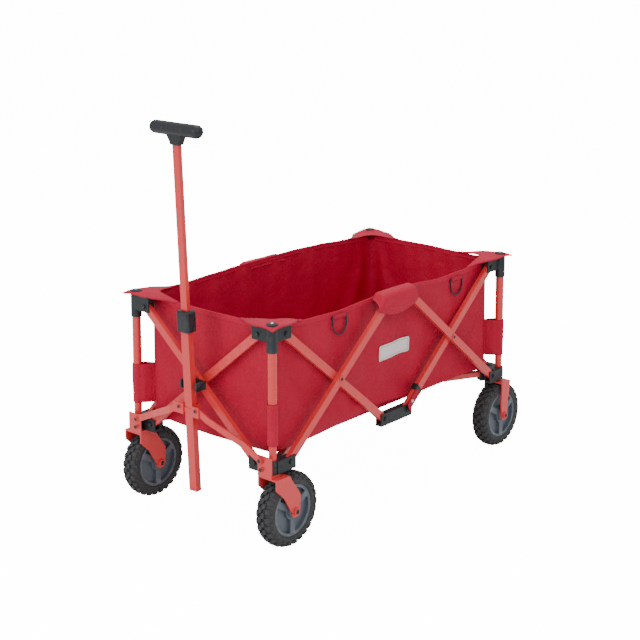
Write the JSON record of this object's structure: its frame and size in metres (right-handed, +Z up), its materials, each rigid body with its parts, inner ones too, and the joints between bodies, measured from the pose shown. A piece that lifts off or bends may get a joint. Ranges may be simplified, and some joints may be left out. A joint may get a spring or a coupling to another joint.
{
  "type": "folding camp wagon",
  "caption": "Folding four-wheel pull wagon: fabric tub in a scissor-bar frame, swivelling front wheels, telescoping T-handle.",
  "frame": {"origin": "middle of the whole box in plan, on the ground", "axes": "-X toward the pulling handle, +Z up, -Y the side with the near wheels"},
  "size_m": [1.09, 0.53, 0.9951],
  "materials": {
    "frame_paint": "semi-gloss coral red powder coat on steel",
    "stem_paint": "semi-gloss coral red paint on steel, worn by sliding",
    "bracket_plastic": "dark moulded nylon, satin",
    "grip_plastic": "black moulded plastic, satin",
    "rim_plastic": "slate grey moulded plastic",
    "tyre": "matt black foam rubber",
    "tub_fabric": "crimson coated polyester cloth",
    "mat_fabric": "crimson coated polyester over stiff board"
  },
  "bodies": {
    "front_near_corner": {"front_near_post": "frame_paint", "front_near_lower_bracket": "bracket_plastic", "tub": "tub_fabric", "floor_mat": "mat_fabric"},
    "front_near_top": {"front_near_upper_tube": "frame_paint", "front_near_upper_bracket": "bracket_plastic"},
    "near_bar_front_rising": {"near_bar_front_rising": "frame_paint"},
    "near_bar_front_falling": {"near_bar_front_falling": "frame_paint"},
    "near_bar_rear_falling": {"near_bar_rear_falling": "frame_paint"},
    "near_bar_rear_rising": {"near_bar_rear_rising": "frame_paint"},
    "near_upper_hub": {"near_upper_hub": "bracket_plastic"},
    "near_lower_hub": {"near_lower_hub": "bracket_plastic"},
    "rear_near_corner": {"rear_near_post": "frame_paint", "rear_near_lower_bracket": "bracket_plastic"},
    "rear_near_top": {"rear_near_upper_tube": "frame_paint", "rear_near_upper_bracket": "bracket_plastic"},
    "front_bar_rising": {"front_bar_rising": "frame_paint"},
    "front_bar_falling": {"front_bar_falling": "frame_paint"},
    "front_far_corner": {"front_far_post": "frame_paint", "front_far_lower_bracket": "bracket_plastic"},
    "front_far_top": {"front_far_upper_tube": "frame_paint", "front_far_upper_bracket": "bracket_plastic"},
    "pole_clip": {"pole_clip": "bracket_plastic"},
    "far_bar_front_rising": {"far_bar_front_rising": "frame_paint"},
    "far_bar_front_falling": {"far_bar_front_falling": "frame_paint"},
    "far_bar_rear_falling": {"far_bar_rear_falling": "frame_paint"},
    "far_bar_rear_rising": {"far_bar_rear_rising": "frame_paint"},
    "far_upper_hub": {"far_upper_hub": "bracket_plastic"},
    "far_lower_hub": {"far_lower_hub": "bracket_plastic"},
    "rear_far_corner": {"rear_far_post": "frame_paint", "rear_far_lower_bracket": "bracket_plastic"},
    "rear_far_top": {"rear_far_upper_tube": "frame_paint", "rear_far_upper_bracket": "bracket_plastic"},
    "rear_bar_rising": {"rear_bar_rising": "frame_paint"},
    "rear_bar_falling": {"rear_bar_falling": "frame_paint"},
    "front_near_floor_arm": {"front_near_floor_arm": "frame_paint"},
    "front_far_floor_arm": {"front_far_floor_arm": "frame_paint"},
    "rear_near_floor_arm": {"rear_near_floor_arm": "frame_paint"},
    "rear_far_floor_arm": {"rear_far_floor_arm": "frame_paint"},
    "front_near_caster": {"front_near_fork": "frame_paint"},
    "front_near_wheel": {"front_near_tyre": "tyre", "front_near_rim": "rim_plastic"},
    "rear_near_wheel": {"rear_near_tyre": "tyre", "rear_near_rim": "rim_plastic"},
    "front_far_caster": {"front_far_fork": "frame_paint"},
    "front_far_wheel": {"front_far_tyre": "tyre", "front_far_rim": "rim_plastic"},
    "rear_far_wheel": {"rear_far_tyre": "tyre", "rear_far_rim": "rim_plastic"},
    "near_handle_link": {"near_handle_link": "frame_paint"},
    "far_handle_link": {"far_handle_link": "frame_paint"},
    "handle_yoke": {"handle_yoke": "frame_paint"},
    "tilt_sleeve": {"tilt_sleeve": "frame_paint"},
    "pole": {"pole": "frame_paint", "pole_collar": "grip_plastic"},
    "stem": {"stem": "stem_paint", "grip": "grip_plastic"}
  },
  "joints": [
    {"name": "fold", "type": "hinge", "parent": "front_near_corner", "child": "near_bar_front_rising", "pos_m": [-0.41096, -0.23675, 0.208], "axis": [0, -1, 0], "range_deg": [0, 45], "deforming": ["tub", "floor_mat"]},
    {"name": "near_front_crossing", "type": "hinge", "parent": "near_bar_front_rising", "child": "near_bar_front_falling", "pos_m": [-0.22596, -0.23, 0.3605], "axis": [0, -1, 0], "range_deg": [-90.5, 0.5]},
    {"name": "near_upper_hub_pivot", "type": "hinge", "parent": "near_bar_front_rising", "child": "near_upper_hub", "pos_m": [-0.04096, -0.23675, 0.513], "axis": [0, -1, 0], "range_deg": [-45.5, 0.5]},
    {"name": "near_lower_hub_pivot", "type": "hinge", "parent": "near_bar_front_falling", "child": "near_lower_hub", "pos_m": [-0.04096, -0.22325, 0.208], "axis": [0, -1, 0], "range_deg": [-0.5, 45.5]},
    {"name": "near_bar_rear_falling_pivot", "type": "hinge", "parent": "near_upper_hub", "child": "near_bar_rear_falling", "pos_m": [0.04904, -0.23675, 0.513], "axis": [0, -1, 0], "range_deg": [-45.5, 0.5]},
    {"name": "near_rear_crossing", "type": "hinge", "parent": "near_bar_rear_falling", "child": "near_bar_rear_rising", "pos_m": [0.23404, -0.23, 0.3605], "axis": [0, -1, 0], "range_deg": [-0.5, 90.5]},
    {"name": "rear_near_corner_pivot", "type": "hinge", "parent": "near_bar_rear_falling", "child": "rear_near_corner", "pos_m": [0.41904, -0.23675, 0.208], "axis": [0, -1, 0], "range_deg": [-0.5, 45.5]},
    {"name": "rear_near_top_pivot", "type": "hinge", "parent": "near_bar_rear_rising", "child": "rear_near_top", "pos_m": [0.41904, -0.22325, 0.513], "axis": [0, -1, 0], "range_deg": [-45.5, 0.5]},
    {"name": "front_near_top_pivot", "type": "hinge", "parent": "near_bar_front_falling", "child": "front_near_top", "pos_m": [-0.41096, -0.22325, 0.513], "axis": [0, -1, 0], "range_deg": [-0.5, 45.5]},
    {"name": "front_bar_rising_pivot", "type": "hinge", "parent": "front_near_corner", "child": "front_bar_rising", "pos_m": [-0.46271, -0.185, 0.208], "axis": [1, 0, 0], "range_deg": [-0.5, 45.5]},
    {"name": "front_crossing", "type": "hinge", "parent": "front_bar_rising", "child": "front_bar_falling", "pos_m": [-0.45596, 0, 0.3605], "axis": [1, 0, 0], "range_deg": [-90.5, 0.5]},
    {"name": "front_far_corner_pivot", "type": "hinge", "parent": "front_bar_falling", "child": "front_far_corner", "pos_m": [-0.44921, 0.185, 0.208], "axis": [1, 0, 0], "range_deg": [-0.5, 45.5]},
    {"name": "front_far_top_pivot", "type": "hinge", "parent": "front_bar_rising", "child": "front_far_top", "pos_m": [-0.46271, 0.185, 0.513], "axis": [1, 0, 0], "range_deg": [-45.5, 0.5]},
    {"name": "pole_clip_pivot", "type": "hinge", "parent": "front_bar_rising", "child": "pole_clip", "pos_m": [-0.46271, 0, 0.3605], "axis": [1, 0, 0], "range_deg": [-45.5, 0.5]},
    {"name": "far_bar_front_rising_pivot", "type": "hinge", "parent": "front_far_corner", "child": "far_bar_front_rising", "pos_m": [-0.41096, 0.23675, 0.208], "axis": [0, -1, 0], "range_deg": [-0.5, 45.5]},
    {"name": "far_front_crossing", "type": "hinge", "parent": "far_bar_front_rising", "child": "far_bar_front_falling", "pos_m": [-0.22596, 0.23, 0.3605], "axis": [0, -1, 0], "range_deg": [-90.5, 0.5]},
    {"name": "far_upper_hub_pivot", "type": "hinge", "parent": "far_bar_front_rising", "child": "far_upper_hub", "pos_m": [-0.04096, 0.23675, 0.513], "axis": [0, -1, 0], "range_deg": [-45.5, 0.5]},
    {"name": "far_lower_hub_pivot", "type": "hinge", "parent": "far_bar_front_falling", "child": "far_lower_hub", "pos_m": [-0.04096, 0.22325, 0.208], "axis": [0, -1, 0], "range_deg": [-0.5, 45.5]},
    {"name": "far_bar_rear_falling_pivot", "type": "hinge", "parent": "far_upper_hub", "child": "far_bar_rear_falling", "pos_m": [0.04904, 0.23675, 0.513], "axis": [0, -1, 0], "range_deg": [-45.5, 0.5]},
    {"name": "far_rear_crossing", "type": "hinge", "parent": "far_bar_rear_falling", "child": "far_bar_rear_rising", "pos_m": [0.23404, 0.23, 0.3605], "axis": [0, -1, 0], "range_deg": [-0.5, 90.5]},
    {"name": "rear_far_corner_pivot", "type": "hinge", "parent": "far_bar_rear_falling", "child": "rear_far_corner", "pos_m": [0.41904, 0.23675, 0.208], "axis": [0, -1, 0], "range_deg": [-0.5, 45.5]},
    {"name": "rear_far_top_pivot", "type": "hinge", "parent": "far_bar_rear_rising", "child": "rear_far_top", "pos_m": [0.41904, 0.22325, 0.513], "axis": [0, -1, 0], "range_deg": [-45.5, 0.5]},
    {"name": "rear_bar_rising_pivot", "type": "hinge", "parent": "rear_near_corner", "child": "rear_bar_rising", "pos_m": [0.47079, -0.185, 0.208], "axis": [1, 0, 0], "range_deg": [-0.5, 45.5]},
    {"name": "rear_crossing", "type": "hinge", "parent": "rear_bar_rising", "child": "rear_bar_falling", "pos_m": [0.46404, 0, 0.3605], "axis": [1, 0, 0], "range_deg": [-90.5, 0.5]},
    {"name": "front_near_floor_arm_pivot", "type": "hinge", "parent": "front_near_corner", "child": "front_near_floor_arm", "pos_m": [-0.41123, -0.20764, 0.208], "axis": [0.4472, -0.8944, 0], "range_deg": [-0.5, 81.5]},
    {"name": "front_far_floor_arm_pivot", "type": "hinge", "parent": "front_far_corner", "child": "front_far_floor_arm", "pos_m": [-0.41123, 0.20764, 0.208], "axis": [-0.4472, -0.8944, 0], "range_deg": [-0.5, 81.5]},
    {"name": "rear_near_floor_arm_pivot", "type": "hinge", "parent": "rear_near_corner", "child": "rear_near_floor_arm", "pos_m": [0.41932, -0.20764, 0.208], "axis": [0.4472, 0.8944, 0], "range_deg": [-0.5, 81.5]},
    {"name": "rear_far_floor_arm_pivot", "type": "hinge", "parent": "rear_far_corner", "child": "rear_far_floor_arm", "pos_m": [0.41932, 0.20764, 0.208], "axis": [-0.4472, 0.8944, 0], "range_deg": [-0.5, 81.5]},
    {"name": "front_near_swivel", "type": "hinge", "parent": "front_near_corner", "child": "front_near_caster", "pos_m": [-0.45596, -0.23, 0.15], "axis": [0, 0, 1], "continuous": true},
    {"name": "front_near_spin", "type": "hinge", "parent": "front_near_caster", "child": "front_near_wheel", "pos_m": [-0.40896, -0.23, 0.09], "axis": [0, 1, 0], "continuous": true},
    {"name": "rear_near_spin", "type": "hinge", "parent": "rear_near_corner", "child": "rear_near_wheel", "pos_m": [0.45504, -0.23, 0.09], "axis": [0, 1, 0], "continuous": true},
    {"name": "front_far_swivel", "type": "hinge", "parent": "front_far_corner", "child": "front_far_caster", "pos_m": [-0.45596, 0.23, 0.15], "axis": [0, 0, -1], "continuous": true},
    {"name": "front_far_spin", "type": "hinge", "parent": "front_far_caster", "child": "front_far_wheel", "pos_m": [-0.40896, 0.23, 0.09], "axis": [0, 1, 0], "continuous": true},
    {"name": "rear_far_spin", "type": "hinge", "parent": "rear_far_corner", "child": "rear_far_wheel", "pos_m": [0.45504, 0.23, 0.09], "axis": [0, 1, 0], "continuous": true},
    {"name": "near_link_pivot", "type": "hinge", "parent": "front_near_corner", "child": "near_handle_link", "pos_m": [-0.47796, -0.211, 0.222], "axis": [1, 0, 0], "range_deg": [-0.5, 60.11]},
    {"name": "far_link_pivot", "type": "hinge", "parent": "front_far_corner", "child": "far_handle_link", "pos_m": [-0.47796, 0.211, 0.222], "axis": [-1, 0, 0], "range_deg": [-0.5, 60.11]},
    {"name": "yoke_pivot", "type": "hinge", "parent": "near_handle_link", "child": "handle_yoke", "pos_m": [-0.50146, -0.028, 0.305], "axis": [1, 0, 0], "range_deg": [-60.11, 0.5]},
    {"name": "handle_tilt", "type": "hinge", "parent": "handle_yoke", "child": "tilt_sleeve", "pos_m": [-0.49346, 0, 0.3], "axis": [0, -1, 0], "range_deg": [0, 60]},
    {"name": "pole_lift", "type": "slide", "parent": "tilt_sleeve", "child": "pole", "axis": [-0.0523, 0, 0.9986], "range_m": [-0.002, 0.19]},
    {"name": "stem_slide", "type": "slide", "parent": "pole", "child": "stem", "axis": [-0.0523, 0, 0.9986], "range_m": [-0.36, 0]}
  ],
  "couplings": [
    {"joint": "near_front_crossing", "follows": "fold", "ratio": -2},
    {"joint": "near_upper_hub_pivot", "follows": "fold", "ratio": -1},
    {"joint": "near_lower_hub_pivot", "follows": "fold", "ratio": 1},
    {"joint": "near_bar_rear_falling_pivot", "follows": "fold", "ratio": -1},
    {"joint": "near_rear_crossing", "follows": "fold", "ratio": 2},
    {"joint": "rear_near_corner_pivot", "follows": "fold", "ratio": 1},
    {"joint": "rear_near_top_pivot", "follows": "fold", "ratio": -1},
    {"joint": "front_near_top_pivot", "follows": "fold", "ratio": 1},
    {"joint": "front_bar_rising_pivot", "follows": "fold", "ratio": 1},
    {"joint": "front_crossing", "follows": "fold", "ratio": -2},
    {"joint": "front_far_corner_pivot", "follows": "fold", "ratio": 1},
    {"joint": "front_far_top_pivot", "follows": "fold", "ratio": -1},
    {"joint": "pole_clip_pivot", "follows": "fold", "ratio": -1},
    {"joint": "far_bar_front_rising_pivot", "follows": "fold", "ratio": 1},
    {"joint": "far_front_crossing", "follows": "fold", "ratio": -2},
    {"joint": "far_upper_hub_pivot", "follows": "fold", "ratio": -1},
    {"joint": "far_lower_hub_pivot", "follows": "fold", "ratio": 1},
    {"joint": "far_bar_rear_falling_pivot", "follows": "fold", "ratio": -1},
    {"joint": "far_rear_crossing", "follows": "fold", "ratio": 2},
    {"joint": "rear_far_corner_pivot", "follows": "fold", "ratio": 1},
    {"joint": "rear_far_top_pivot", "follows": "fold", "ratio": -1},
    {"joint": "rear_bar_rising_pivot", "follows": "fold", "ratio": 1},
    {"joint": "rear_crossing", "follows": "fold", "ratio": -2},
    {"joint": "front_near_floor_arm_pivot", "follows": "fold", "ratio": 1.8},
    {"joint": "front_far_floor_arm_pivot", "follows": "fold", "ratio": 1.8},
    {"joint": "rear_near_floor_arm_pivot", "follows": "fold", "ratio": 1.8},
    {"joint": "rear_far_floor_arm_pivot", "follows": "fold", "ratio": 1.8},
    {"joint": "near_link_pivot", "follows": "fold", "ratio": 1.3247},
    {"joint": "far_link_pivot", "follows": "fold", "ratio": 1.3247},
    {"joint": "yoke_pivot", "follows": "fold", "ratio": -1.3247},
    {"joint": "pole_lift", "follows": "handle_tilt", "m_per_rad": 0.17953}
  ]
}
